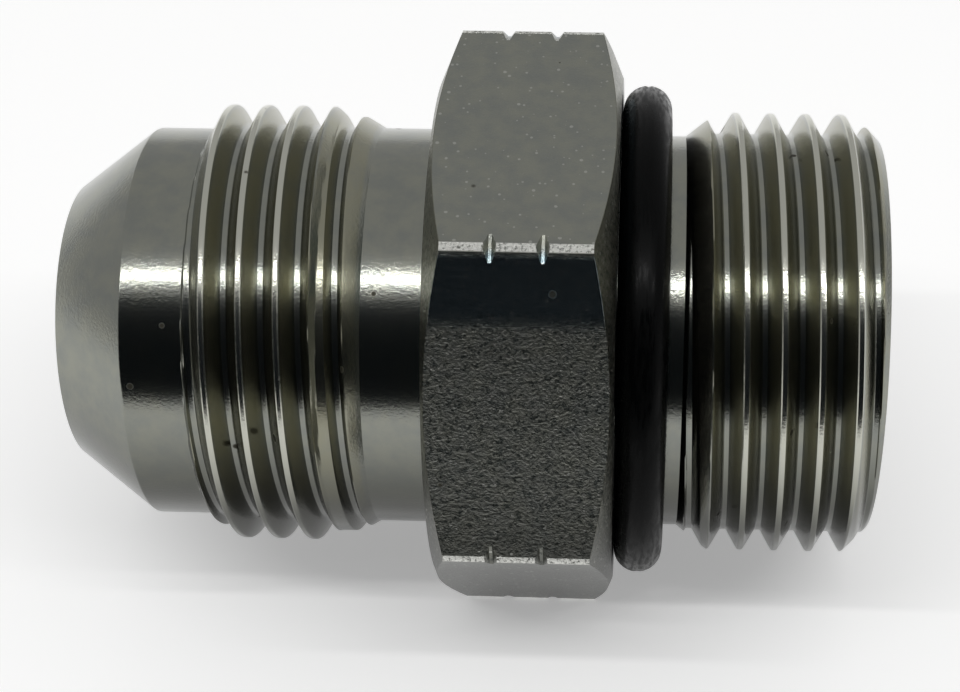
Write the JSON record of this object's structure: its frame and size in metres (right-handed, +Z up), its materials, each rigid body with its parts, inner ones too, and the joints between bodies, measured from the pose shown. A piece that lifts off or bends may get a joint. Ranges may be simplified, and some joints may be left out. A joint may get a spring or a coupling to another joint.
{
  "type": "hydraulic adapter fitting",
  "caption": "Straight hydraulic adapter: 37 degree flare male end, hexagon with nicked corners, and a straight-thread stud end sealed by an O-ring.",
  "frame": {"origin": "on the bore axis, in the plane of the hexagon's sealing shoulder that faces the stud end", "axes": "+X along the bore towards the stud end, +Z up out of the hexagon's upper flat, +Y across two hexagon corners"},
  "size_m": [0.0485, 0.0366, 0.0318],
  "materials": {
    "plated_steel": "zinc-nickel plated, machined and rolled, slightly oily",
    "seal_rubber": "moulded black nitrile, satin"
  },
  "bodies": {
    "root": {"adapter_body": "plated_steel", "o_ring": "seal_rubber"}
  },
  "joints": []
}
